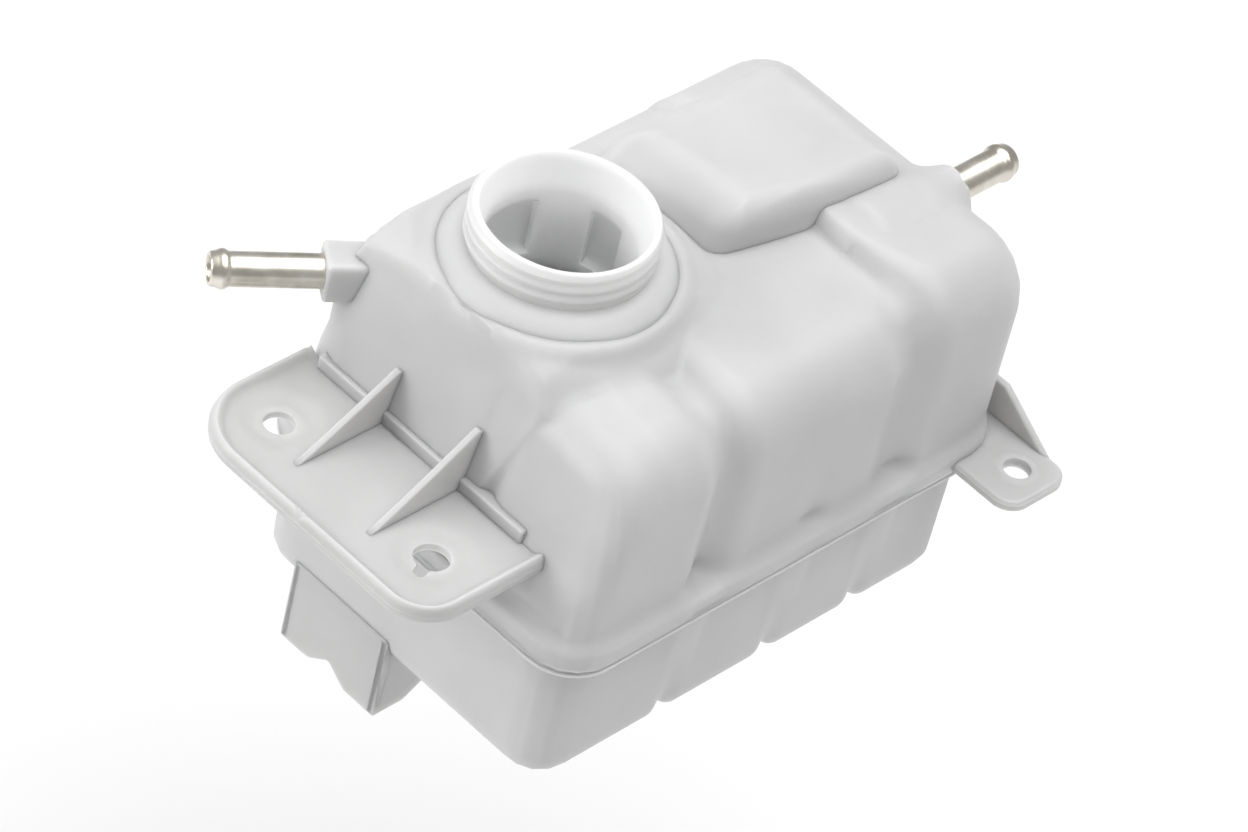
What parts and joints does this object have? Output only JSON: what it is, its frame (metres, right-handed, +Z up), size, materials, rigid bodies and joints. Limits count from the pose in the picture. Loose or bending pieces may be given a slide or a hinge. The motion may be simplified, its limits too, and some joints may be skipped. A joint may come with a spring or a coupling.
{
  "type": "coolant expansion tank",
  "caption": "Ribbed plastic expansion tank with a threaded filler neck, bracket, tab, two steel hose pipes and a bottom outlet.",
  "frame": {"origin": "midway between the two bolt holes of the left bracket, on the bracket's underside", "axes": "+X along the tank from the bracket to the right end, +Y to the back, +Z up"},
  "size_m": [0.2034, 0.143, 0.1395],
  "materials": {
    "shell_plastic": "satin",
    "pipe_steel": "satin"
  },
  "bodies": {
    "root": {"upper_shell": "shell_plastic", "lower_shell": "shell_plastic", "left_pipe": "pipe_steel", "right_pipe": "pipe_steel"}
  },
  "joints": []
}
